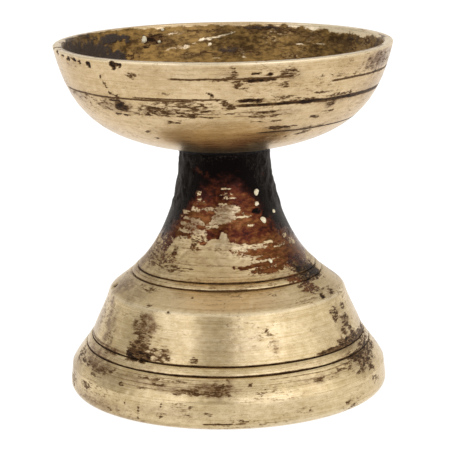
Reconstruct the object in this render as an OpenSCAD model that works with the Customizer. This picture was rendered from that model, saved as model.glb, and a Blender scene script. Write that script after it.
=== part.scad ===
// Brass votive bowl on a bell-shaped pedestal.
// A turned bowl is riveted through its floor to the crown of a hollow cast foot. The rivet is
// peened over a washer inside the foot, and a bead of dark pitch seals the joint at the neck.
// Millimetres, +Z up, origin on the resting plane at the centre of the foot.

/* [Overall] */
// Outer diameter of the bowl at its rim
bowl_d = 90; // [84:1:96]
// Outer diameter of the foot at its widest
foot_d = 86.2; // [82:0.2:90]
// Height of the foot, from the table to the bowl's seat
foot_h = 66.2; // [62:0.2:70]
// Height of the bowl, from its seat to the rim
bowl_h = 28.0; // [25:0.2:30]

/* [Walls] */
// Thickness of the bowl at its rim
rim_wall = 2.4; // [2:0.1:3]
// Thickness of the bowl where its wall meets the floor
floor_wall = 3.0; // [2.6:0.1:3.4]
// Rounding of the two corners of the rim
rim_round = 0.7; // [0.3:0.1:0.9]
// Thickness of the foot's shell
foot_wall = 2.9; // [2.4:0.1:3.4]
// Thickness of the crown that closes the foot under the bowl
crown_t = 5.0; // [4:0.5:7]

/* [Neck] */
// Outer diameter of the neck under the bowl
neck_d = 24.2; // [22:0.2:27]
// Size of the pitch bead around the joint
bead = 0.9; // [0.6:0.1:1.4]

/* [Turned grooves] */
// Width of each groove at its mouth
groove_w = 0.5; // [0.3:0.1:0.7]
// Depth of each groove
groove_depth = 0.4; // [0.2:0.05:0.5]

/* [Rivet] */
// Diameter of the rivet's shank
rivet_d = 6; // [5:0.5:7]
// Diameter of the domed head in the bowl
head_d = 11; // [10:0.5:13]
// Height of the domed head
head_h = 1.8; // [1.4:0.1:2.4]
// Thickness of the washer inside the foot
washer_t = 1.2; // [1:0.1:1.6]

/* [Hidden] */
$fn = 96;

bowl_r = bowl_d / 2;
foot_r = foot_d / 2;
neck_r = neck_d / 2;
total_h = foot_h + bowl_h;
rivet_gap = 0.05;
hole_r = rivet_d / 2 + rivet_gap;
washer_r = head_d / 2 + 0.5;
tail_r = rivet_d / 2 + 1.4;
tail_h = 1.6;
crown_z = foot_h - crown_t;
floor_z = foot_h + floor_wall;
curve_steps = 22;

// The foot's turned features, as [radius, height above the table]
heel_round = 2.4;
band_top = [foot_r * 0.988, 7.4];
lower_grooves = [[foot_r * 0.897, 13.0], [foot_r * 0.862, 15.2]];
shoulder = [foot_r * 0.742, 27.4];
upper_grooves = [[foot_r * 0.601, 32.3], [foot_r * 0.564, 33.9]];

// A point on a cubic curve, and its direction there
function on_curve(c, t) =
    (1-t)^3*c[0] + 3*(1-t)^2*t*c[1] + 3*(1-t)*t^2*c[2] + t^3*c[3];
function along_curve(c, t) =
    3*(1-t)^2*(c[1]-c[0]) + 6*(1-t)*t*(c[2]-c[1]) + 3*t^2*(c[3]-c[2]);
function unit(v) = v / norm(v);
// The normal on the left of a direction
function left_of(v) = [-v[1], v[0]];
function curve(c, steps = curve_steps) = [for (i = [0:steps]) on_curve(c, i/steps)];
// The same curve moved to its left by a distance that changes evenly from its start to its end
function curve_inside(c, start, end, steps = curve_steps) =
    [for (i = [0:steps]) let (t = i/steps)
        on_curve(c, t) + (start + (end - start)*t) * left_of(unit(along_curve(c, t)))];
function arc(centre, r, from, to, steps = 8) =
    [for (i = [0:steps]) let (a = from + (to - from)*i/steps) centre + r*[cos(a), sin(a)]];
function reversed(list) = [for (i = [len(list)-1:-1:0]) list[i]];

// Outside of the bowl, from the edge of its seat up to the rim
bowl_curve = [
    [neck_r, foot_h],
    [bowl_r * 0.724, foot_h + bowl_h * 0.115],
    [bowl_r * 0.911, foot_h + bowl_h * 0.350],
    [bowl_r, total_h - rim_round]
];

// Outside of the foot's flare, from the upper groove up to the neck
flare_curve = [
    upper_grooves[1],
    [foot_r * 0.413, foot_h * 0.600],
    [neck_r + 0.2, foot_h * 0.793],
    [neck_r, foot_h - 2]
];

// Outside of the foot's slightly hollow skirt, from the lower grooves up to the shoulder
skirt_curve = [
    lower_grooves[1] + [-0.5, 0.9],
    lower_grooves[1] + [-1.9, 4.6],
    shoulder + [1.25, -4.2],
    shoulder + [0.3, -1.0]
];
skirt_steps = 10;

// A V-shaped groove in an outline, centred on p, where the outline runs along the unit vector d
function groove(p, d) = [
    p - d * groove_w/2,
    p + left_of(d) * groove_depth,
    p + d * groove_w/2
];
// Two of them, with the straight land between them
function groove_pair(pair) =
    let (d = unit(pair[1] - pair[0]))
    concat(groove(pair[0], d), groove(pair[1], d));

module bowl_outline() {
    // The wall's thickness is measured square to the outside of the bowl.
    inner = reversed(curve_inside(bowl_curve, floor_wall, rim_wall));
    polygon(concat(
        [[hole_r, foot_h]],
        curve(bowl_curve),
        arc([bowl_r - rim_round, total_h - rim_round], rim_round, 0, 90),
        arc([inner[0][0] + rim_round, total_h - rim_round], rim_round, 90, 180),
        [for (p = inner) if (p[1] > floor_z && p[0] > head_d/2 + 1) p],
        [[head_d/2 + 1, floor_z], [hole_r, floor_z]]
    ));
}

module foot_outline() {
    flare_hollow = curve_inside(flare_curve, foot_wall, foot_wall);
    polygon(concat(
        // the ring that the foot rests on, and its rounded outer corner
        [[foot_r - foot_wall - 0.4, 0]],
        arc([foot_r - heel_round, heel_round], heel_round, -90, 0),
        // the upright band, and the round above it up to the lower grooves
        curve([
            band_top,
            band_top + [-0.6, 1.2],
            lower_grooves[0] + [1.6, -2.0],
            lower_grooves[0] + [0.4, -0.5]
        ], 6),
        groove_pair(lower_grooves),
        // the skirt, up to the shoulder's softened edge
        curve(skirt_curve, skirt_steps),
        [shoulder, shoulder + [-0.9, 0.8]],
        groove_pair(upper_grooves),
        // the flare and the neck
        [for (i = [1:curve_steps]) on_curve(flare_curve, i/curve_steps)],
        [[neck_r, foot_h], [hole_r, foot_h], [hole_r, crown_z]],
        // the hollow, an even wall's thickness inside, from the crown down to the table
        [[neck_r - foot_wall, crown_z]],
        reversed([for (p = flare_hollow) if (p[1] < crown_z - 0.1) p]),
        reversed(curve_inside(skirt_curve, foot_wall, foot_wall, skirt_steps)),
        [[band_top[0] - foot_wall, band_top[1] - 1]]
    ));
}

module bowl() {
    color([0.80, 0.68, 0.44])
        rotate_extrude() bowl_outline();
}

module pedestal_foot() {
    color([0.78, 0.66, 0.42])
        rotate_extrude() foot_outline();
}

// A shallow dome as an outline: a flat of radius r, rising to height h on the axis
module dome_outline(r, h) {
    ball = (r^2 + h^2) / (2*h);
    sweep = asin(r / ball);
    polygon(concat([[0, 0]], arc([0, h - ball], ball, 90 - sweep, 90, 10)));
}

module centre_rivet() {
    tail_z = crown_z - washer_t;
    color([0.72, 0.58, 0.34]) {
        // head, on the bowl's floor
        translate([0, 0, floor_z]) rotate_extrude() dome_outline(head_d/2, head_h);
        // shank, through the floor, the crown and the washer
        translate([0, 0, tail_z]) cylinder(d = rivet_d, h = floor_z - tail_z);
        // peened tail, under the washer
        translate([0, 0, tail_z]) mirror([0, 0, 1]) rotate_extrude() dome_outline(tail_r, tail_h);
    }
}

module rivet_washer() {
    color([0.55, 0.46, 0.30])
        translate([0, 0, crown_z - washer_t])
        rotate_extrude()
        translate([hole_r, 0]) square([washer_r - hole_r, washer_t]);
}

module joint_bead() {
    // It fills the corner between the neck and the first straight step of the bowl's underside.
    corner = bowl_curve[0];
    underside = unit(on_curve(bowl_curve, 1/curve_steps) - corner);
    color([0.10, 0.08, 0.07])
        rotate_extrude()
        polygon(concat([corner], curve([
            corner - [0, bead],
            corner - [0, bead/2],
            corner + underside * bead/2,
            corner + underside * bead
        ], 6)));
}

bowl();
pedestal_foot();
centre_rivet();
rivet_washer();
joint_bead();
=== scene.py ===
"""The looks of a brass votive bowl on a bell-shaped foot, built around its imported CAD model.

Every piece is turned: an outline of [radius, height] in millimetres is revolved about +Z into a
dense mesh. Rings, pits, nicks, dents and crust then move its points. Stains are stored on it as
fields, 0 where there is none and about 1 where they are solid, and the materials give them grain.
An angle is in degrees about +Z: 0 faces the camera (-Y), and +90 is on the camera's right (+X).
A mark is (angle, height, width, tall, strength), with its place and size in millimetres.
"""
import itertools
import math

import bmesh
import bpy
import numpy as np
from mathutils import Matrix, Vector


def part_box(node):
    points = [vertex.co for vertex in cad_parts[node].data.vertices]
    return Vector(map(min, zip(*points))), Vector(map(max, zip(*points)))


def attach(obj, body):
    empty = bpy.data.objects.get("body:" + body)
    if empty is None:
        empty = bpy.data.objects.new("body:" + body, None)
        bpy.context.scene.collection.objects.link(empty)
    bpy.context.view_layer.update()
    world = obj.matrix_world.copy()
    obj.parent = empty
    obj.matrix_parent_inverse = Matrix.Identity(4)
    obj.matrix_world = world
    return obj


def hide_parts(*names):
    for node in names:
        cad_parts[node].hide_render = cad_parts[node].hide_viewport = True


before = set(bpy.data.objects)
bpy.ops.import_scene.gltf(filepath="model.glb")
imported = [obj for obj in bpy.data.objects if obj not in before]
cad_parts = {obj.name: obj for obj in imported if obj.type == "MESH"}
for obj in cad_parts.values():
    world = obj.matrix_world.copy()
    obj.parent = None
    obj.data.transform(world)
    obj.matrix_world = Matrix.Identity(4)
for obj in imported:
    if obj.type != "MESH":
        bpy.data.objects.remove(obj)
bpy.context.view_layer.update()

MM = 0.001
BODY = "root"


# ---------------------------------------------------------------- sizes, in millimetres
def extent(node):
    """A CAD node's radius, and its lowest and highest points."""
    low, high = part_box(node)
    return max(high.x, high.y, -low.x, -low.y) / MM, low.z / MM, high.z / MM


BOWL_R, SEAT_Z, RIM_Z = extent("bowl")
FOOT_R, FOOT_Z, _ = extent("pedestal_foot")
HEAD_R, TAIL_Z, HEAD_Z = extent("centre_rivet")
WASHER_R, WASHER_Z, CROWN_Z = extent("rivet_washer")
BEAD_R, BEAD_Z, BEAD_TOP_Z = extent("joint_bead")

# walls, the neck, the rivet and the grooves as in the CAD, and how far wear has rounded the rim
RIM_WALL, FLOOR_WALL, FOOT_WALL = 2.4, 3.0, 2.9
RIM_ROUND, HEEL_ROUND = 0.4, 2.4
NECK_R, HOLE_R, SHANK_R, TAIL_R = 12.1, 3.05, 3.0, 4.4
GROOVE_W, GROOVE_DEPTH = 0.5, 0.4
# points round each piece
BOWL_COLUMNS, FOOT_COLUMNS, BEAD_COLUMNS, RIVET_COLUMNS = 512, 480, 320, 96
BOWL_H = RIM_Z - SEAT_Z
FLOOR_Z = SEAT_Z + FLOOR_WALL

# the foot's turned features, as [radius, height]
BAND_TOP = np.array([FOOT_R * 0.988, 7.4])
LOWER_GROOVES = np.array([[FOOT_R * 0.897, 13.0], [FOOT_R * 0.862, 15.2]])
SHOULDER = np.array([FOOT_R * 0.742, 27.4])
UPPER_GROOVES = np.array([[FOOT_R * 0.601, 32.3], [FOOT_R * 0.564, 33.9]])

BOWL_CURVE = [
    [NECK_R, SEAT_Z],
    [BOWL_R * 0.724, SEAT_Z + BOWL_H * 0.115],
    [BOWL_R * 0.911, SEAT_Z + BOWL_H * 0.350],
    [BOWL_R, RIM_Z - RIM_ROUND],
]
FLARE_CURVE = [
    UPPER_GROOVES[1],
    [FOOT_R * 0.413, SEAT_Z * 0.600],
    [NECK_R + 0.2, SEAT_Z * 0.793],
    [NECK_R, SEAT_Z - 2],
]
SKIRT_CURVE = [
    LOWER_GROOVES[1] + [-0.5, 0.9],
    LOWER_GROOVES[1] + [-1.9, 4.6],
    SHOULDER + [1.25, -4.2],
    SHOULDER + [0.3, -1.0],
]


# ---------------------------------------------------------------- outlines
def bezier(control, count):
    """Points along a cubic curve."""
    a, b, c, d = (np.array(p, float) for p in control)
    t = np.linspace(0, 1, count)[:, None]
    return (1 - t) ** 3 * a + 3 * (1 - t) ** 2 * t * b + 3 * (1 - t) * t**2 * c + t**3 * d


def inset_bezier(control, count, start, end, crowd=0.0):
    """The same curve, moved to its left by a distance that goes evenly from start to end. Its
    points crowd towards the end where `crowd` is above 0."""
    fine = bezier(control, 400)
    run = np.gradient(fine, axis=0)
    run /= np.linalg.norm(run, axis=1)[:, None]
    left = np.stack([-run[:, 1], run[:, 0]], 1)
    moved = fine + left * np.linspace(start, end, len(fine))[:, None]
    t = np.linspace(0, 1, count)
    t += crowd * t * (1 - t)
    return moved[(t * (len(fine) - 1)).round().astype(int)]


def arc(centre, radius, start, end, count):
    """Points round a corner, between two angles in degrees."""
    a = np.radians(np.linspace(start, end, count))
    return np.array(centre) + radius * np.stack([np.cos(a), np.sin(a)], 1)


def line(start, end, count):
    """Points evenly along a straight stretch, both ends included."""
    return np.linspace(start, end, count)


def groove_pair(pair):
    """Two V-shaped grooves and the land between them."""
    run = (pair[1] - pair[0]) / np.linalg.norm(pair[1] - pair[0])
    left = np.array([-run[1], run[0]])
    across = [(-0.5, 0), (-0.3, 0.25), (-0.08, 1), (0.08, 1), (0.3, 0.25), (0.5, 0)]
    first, second = (
        np.array([p + run * GROOVE_W * u + left * GROOVE_DEPTH * v for u, v in across]) for p in pair
    )
    return np.vstack([first, line(first[-1], second[0], 4)[1:-1], second])


def dome(radius, height, base_z, count):
    """A shallow dome from its edge to the axis, rising from base_z by height."""
    ball = (radius**2 + height**2) / (2 * height)
    sweep = math.degrees(math.asin(radius / ball))
    return arc([0, base_z + height - ball], ball, 90 - sweep, 90, count)


def bowl_outline():
    """The bowl's closed outline, from the rivet hole out under the seat, up and back inside."""
    inner = inset_bezier(BOWL_CURVE, 68, FLOOR_WALL, RIM_WALL, 0.4)[::-1]
    inner = inner[inner[:, 1] > FLOOR_Z + 0.05]
    inner_rim = [inner[0][0] + RIM_ROUND, RIM_Z - RIM_ROUND]
    return [
        ("hidden", line([HOLE_R, FLOOR_Z], [HOLE_R, SEAT_Z], 3)[:-1]),
        ("hidden", line([HOLE_R, SEAT_Z], [NECK_R, SEAT_Z], 4)[:-1]),
        ("outside", bezier(BOWL_CURVE, 104)),
        ("outside", arc([BOWL_R - RIM_ROUND, RIM_Z - RIM_ROUND], RIM_ROUND, 0, 90, 6)[1:]),
        ("inside", arc(inner_rim, RIM_ROUND, 90, 180, 6)),
        ("inside", inner[1:]),
        ("inside", line([HEAD_R + 1, FLOOR_Z], [HOLE_R, FLOOR_Z], 6)[:-1]),
    ]


def foot_outline():
    """The foot's closed outline, from the resting ring up the outside and back down the hollow."""
    cone_start = SHOULDER + [-0.9, 0.8]
    grooves = groove_pair(UPPER_GROOVES)
    lower = groove_pair(LOWER_GROOVES)
    round_curve = [BAND_TOP, BAND_TOP + [-0.6, 1.2], LOWER_GROOVES[0] + [1.6, -2.0], lower[0]]
    edge_curve = [SKIRT_CURVE[-1], SHOULDER + [0.1, -0.3], SHOULDER + [-0.1, 0.1], cone_start]
    hollow = inset_bezier(FLARE_CURVE, 14, FOOT_WALL, FOOT_WALL)[::-1]
    hollow = hollow[hollow[:, 1] < CROWN_Z - 0.1]
    heel = [FOOT_R - HEEL_ROUND, HEEL_ROUND]
    ring = [FOOT_R - FOOT_WALL - 0.4, FOOT_Z]
    waist = BAND_TOP + [-FOOT_WALL, -1]
    return [
        ("outside", line(ring, [FOOT_R - HEEL_ROUND, FOOT_Z], 3)[:-1]),
        ("outside", arc(heel, HEEL_ROUND, -90, 0, 9)),
        ("outside", line([FOOT_R, HEEL_ROUND], BAND_TOP, 10)[1:]),
        ("outside", bezier(round_curve, 12)[1:-1]),
        ("outside", lower),
        ("outside", bezier(SKIRT_CURVE, 26)),
        ("outside", bezier(edge_curve, 6)[1:]),
        ("outside", line(cone_start, grooves[0], 10)[1:-1]),
        ("outside", grooves),
        ("outside", bezier(FLARE_CURVE, 72)[1:]),
        ("outside", line([NECK_R, SEAT_Z - 2], [NECK_R, SEAT_Z], 5)[1:]),
        ("hidden", line([NECK_R, SEAT_Z], [HOLE_R, SEAT_Z], 4)[1:-1]),
        ("hidden", line([HOLE_R, SEAT_Z], [HOLE_R, CROWN_Z], 3)),
        ("inside", line([HOLE_R, CROWN_Z], [NECK_R - FOOT_WALL, CROWN_Z], 4)[1:]),
        ("inside", hollow),
        ("inside", inset_bezier(SKIRT_CURVE, 7, FOOT_WALL, FOOT_WALL)[::-1]),
        ("inside", line(waist, ring, 5)[:-1]),
    ]


# ---------------------------------------------------------------- noise and marks
def smooth_step(low, high, value):
    t = np.clip((value - low) / (high - low), 0, 1)
    return t * t * (3 - 2 * t)


def lumps(points, size, seed, octaves=1):
    """Smooth noise from 0 to 1, with lumps about `size` across, at points (n, 3)."""
    count = 32
    table = np.random.default_rng(seed).random((count, count, count))
    total = np.zeros(len(points))
    weights = 0
    for octave in range(octaves):
        scaled = points / size * 2**octave + octave * 7.3
        cell = np.floor(scaled).astype(int)
        t = scaled - cell
        t = t * t * (3 - 2 * t)
        value = np.zeros(len(points))
        for corner in itertools.product((0, 1), repeat=3):
            weight = np.prod(np.where(corner, t, 1 - t), axis=1)
            i, j, k = ((cell + corner) % count).T
            value += weight * table[i, j, k]
        total += value / 2**octave
        weights += 1 / 2**octave
    return total / weights


class Turning:
    """A revolved mesh in the making: rows along its outline, and columns round the axis."""

    def __init__(self, sections, columns, closed=True):
        outline = np.vstack([points for _, points in sections])
        names = [name for name, points in sections for _ in points]
        run = np.gradient(outline, axis=0)
        if closed:
            run = np.roll(outline, -1, 0) - np.roll(outline, 1, 0)
        run /= np.maximum(np.linalg.norm(run, axis=1), 1e-9)[:, None]
        steps = np.linalg.norm(np.diff(outline, axis=0), axis=1)
        self.closed = closed
        self.shape = (len(outline), columns)
        self.rows = outline
        self.normal = np.stack([run[:, 1], -run[:, 0]], 1)
        self.angle = np.tile(np.arange(columns) * 360 / columns - 180, len(outline))
        self.radius, self.height = (np.repeat(outline[:, i], columns) for i in (0, 1))
        self.along = np.repeat(np.concatenate([[0], np.cumsum(steps)]), columns)
        self.side = np.repeat(np.array(names), columns)
        self.push = np.zeros(self.angle.size)
        self.fields = {}
        self.bend = [lumps(self.points, 2.6, seed, 3) - 0.5 for seed in (11, 12)]
        self.rough = lumps(self.points, 0.9, 13, 2) - 0.5

    def at(self, radius, height):
        """Points in millimetres at these radii and heights, column by column."""
        a = np.radians(self.angle)
        return np.stack([radius * np.sin(a), -radius * np.cos(a), height], 1)

    @property
    def points(self):
        return self.at(self.radius, self.height)

    @property
    def turned(self):
        """Points with the height replaced by the length along the outline, for streaks."""
        return self.at(self.radius, self.along)

    def on(self, side):
        return (self.side == side).astype(float)

    def marks(self, marks, ragged=0.3, side="outside", solid=0.6, twist=3.4):
        """The strongest of these marks at each point. Noise bends their shapes by up to half of
        `twist`, and breaks their edges. Each fades outwards from `solid` of the way to its edge."""
        field = np.zeros(self.angle.size)
        for angle, height, width, tall, strength in marks:
            bend = twist * min(width / 4, tall / 2, 1)
            turn = (self.angle - angle + 180) % 360 - 180
            across = (np.radians(turn) * self.radius + self.bend[0] * bend) / (width / 2)
            up = (self.height - height + self.bend[1] * bend * 0.6) / (tall / 2)
            near = smooth_step(1.25, solid, np.hypot(across, up) + self.rough * 2 * ragged)
            field = np.maximum(field, near * strength)
        return field * self.on(side)

    def build(self, name, material):
        """The mesh, with its points pushed out along the outline's normal, and its fields."""
        rows, columns = self.shape
        out_r, out_z = (np.repeat(self.normal[:, i], columns) for i in (0, 1))
        radius = np.maximum(self.radius + self.push * out_r, 0)
        points = self.at(radius, self.height + self.push * out_z)
        grid = np.arange(rows * columns).reshape(self.shape)
        below = grid if self.closed else grid[:-1]
        above = np.roll(grid, -1, 0) if self.closed else grid[1:]
        faces = np.stack([below, np.roll(below, -1, 1), np.roll(above, -1, 1), above], -1)
        mesh = bpy.data.meshes.new(name)
        mesh.from_pydata((points * MM).tolist(), [], faces.reshape(-1, 4).tolist())
        for field, values in self.fields.items():
            store(mesh, field, values)
        store(mesh, "turned", self.turned)
        if not self.closed:
            close_poles(mesh)
        return piece(name, mesh, material)


def store(mesh, name, values):
    """Keeps a number or a vector for each of a mesh's points."""
    values = np.asarray(values, np.float32)
    kind, key = ("FLOAT_VECTOR", "vector") if values.ndim == 2 else ("FLOAT", "value")
    mesh.attributes.new(name, kind, "POINT").data.foreach_set(key, values.ravel())


def close_poles(mesh):
    """Joins the points of a row that lies on the axis."""
    work = bmesh.new()
    work.from_mesh(mesh)
    bmesh.ops.remove_doubles(work, verts=work.verts, dist=0.001 * MM)
    work.to_mesh(mesh)
    work.free()


def piece(name, mesh, material):
    """A smooth-shaded object that rides on the one body."""
    mesh.shade_smooth()
    mesh.materials.append(material)
    thing = bpy.data.objects.new(name, mesh)
    bpy.context.scene.collection.objects.link(thing)
    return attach(thing, BODY)


# ---------------------------------------------------------------- materials
class Nodes:
    """A node tree, with a short way to write sums of its nodes."""

    def __init__(self, owner):
        owner.use_nodes = True
        self.nodes = owner.node_tree.nodes
        self.links = owner.node_tree.links

    def set(self, socket, value):
        if isinstance(value, bpy.types.NodeSocket):
            self.links.new(value, socket)
        elif isinstance(value, tuple) and socket.type == "RGBA":
            socket.default_value = (*value, 1)
        else:
            socket.default_value = value

    def add(self, kind, *inputs, out=0, **settings):
        node = self.nodes.new(kind)
        for key, value in settings.items():
            setattr(node, key, value)
        for socket, value in zip(node.inputs, inputs):
            if value is not None:
                self.set(socket, value)
        return node.outputs[out]

    def math(self, operation, *values):
        return self.add("ShaderNodeMath", *values, operation=operation)

    def ramp(self, value, low, high, bottom=0.0, top=1.0):
        """value from low to high, turned smoothly into bottom to top."""
        return self.add(
            "ShaderNodeMapRange", value, low, high, bottom, top, interpolation_type="SMOOTHSTEP"
        )


class Shader(Nodes):
    """A material for turned brass and what lies on it."""

    def __init__(self, name):
        self.material = bpy.data.materials.new(name)
        super().__init__(self.material)
        self.bsdf = self.nodes["Principled BSDF"]
        self.turned = self.field("turned", "Vector")

    def field(self, name, out="Fac"):
        return self.add("ShaderNodeAttribute", attribute_name=name, out=out)

    def mix(self, factor, a, b):
        node = self.nodes.new("ShaderNodeMix")
        node.data_type = "RGBA"
        colours = [s for s in node.inputs if s.type == "RGBA"]
        self.set(node.inputs[0], factor)
        self.set(colours[0], a)
        self.set(colours[1], b)
        return next(s for s in node.outputs if s.type == "RGBA")

    def blend(self, factor, a, b):
        """A mix of two numbers."""
        return self.add("ShaderNodeMapRange", factor, 0.0, 1.0, a, b)

    def noise(self, round_scale, along_scale, detail=3.0, roughness=0.55, shift=0.0):
        """Noise over the turned surface, with its own scales, per millimetre, round and along it."""
        place = self.add(
            "ShaderNodeVectorMath",
            self.turned,
            (round_scale, round_scale, along_scale),
            (shift, shift, shift),
            operation="MULTIPLY_ADD",
        )
        node = self.nodes.new("ShaderNodeTexNoise")
        self.set(node.inputs["Vector"], place)
        node.inputs["Scale"].default_value = 1.0
        node.inputs["Detail"].default_value = detail
        node.inputs["Roughness"].default_value = roughness
        return node.outputs[0]

    def broken(self, field, noise, depth):
        """A field moved up and down by noise, half of depth each way, which breaks its edges."""
        shifted = self.math("SUBTRACT", self.field(field), depth / 2)
        return self.math("MULTIPLY_ADD", noise, depth, shifted)

    def bump(self, height, distance, normal=None):
        """Bump whose full height is distance, in millimetres."""
        node = self.nodes.new("ShaderNodeBump")
        node.inputs["Distance"].default_value = distance * MM
        self.set(node.inputs["Height"], height)
        if normal is not None:
            self.set(node.inputs["Normal"], normal)
        return node.outputs[0]

    def finish(self, **inputs):
        for name, value in inputs.items():
            self.set(self.bsdf.inputs[name.replace("_", " ")], value)
        return self.material


# linear colours
BOWL_BRASS, BOWL_BRASS_DEEP = (0.715, 0.545, 0.330), (0.49, 0.345, 0.172)
FOOT_BRASS, FOOT_BRASS_DEEP = (0.715, 0.570, 0.345), (0.47, 0.350, 0.170)
BRASS_PALE = (0.80, 0.680, 0.47)
GOLDEN_BROWN = (0.262, 0.154, 0.048)
DARK_OLIVE = (0.056, 0.030, 0.011)
# brown of the film that is partly real grime and partly painted shade
GRIME_AND_SHADE = (0.175, 0.102, 0.055)
HAZE_BROWN = (0.205, 0.120, 0.048)
STAIN_BROWN = (0.108, 0.056, 0.022)
STAIN_BLACK = (0.020, 0.011, 0.007)
RESIN_AMBER = (0.168, 0.062, 0.021)
RESIN_UMBER = (0.085, 0.034, 0.009)
RESIN_RED = (0.070, 0.017, 0.008)
RESIN_DARK = (0.024, 0.008, 0.006)
SOOT = (0.0045, 0.0033, 0.0030)
SMOKE = (0.070, 0.053, 0.044)
CRUST_SHINE = (0.060, 0.047, 0.040)
EDGE_TINT = (1.0, 0.96, 0.92)


def scored_line(shader, line_mark, breakup):
    """A dark turned line: 1 on it and 0 off it. It has its middle's angle, its place along the
    outline, how far round it runs each way in degrees, its width in millimetres and its strength."""
    angle, along, spread, width, strength = line_mark
    a = math.radians(angle)
    flat = shader.add(
        "ShaderNodeVectorMath", shader.turned, (1.0, 1.0, 0.0), operation="MULTIPLY"
    )
    unit = shader.add("ShaderNodeVectorMath", flat, operation="NORMALIZE")
    middle = (math.sin(a), -math.cos(a), 0.0)
    facing = shader.add(
        "ShaderNodeVectorMath", unit, middle, operation="DOT_PRODUCT", out="Value"
    )
    height = shader.add("ShaderNodeSeparateXYZ", shader.turned, out="Z")
    wobble = shader.math("MULTIPLY_ADD", shader.line_wobble, 0.5, -0.25 + along)
    off = shader.math("ABSOLUTE", shader.math("SUBTRACT", height, wobble))
    core = shader.ramp(off, width * 0.2, width * 0.8, strength, 0.0)
    core = shader.math("MULTIPLY", core, shader.blend(breakup, 0.72, 1.15))
    if spread >= 180:
        return core
    limit = math.cos(math.radians(spread))
    fade = (1 - limit) * 0.35
    return shader.math("MULTIPLY", core, shader.ramp(facing, limit - 0.002, limit + fade))


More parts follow.
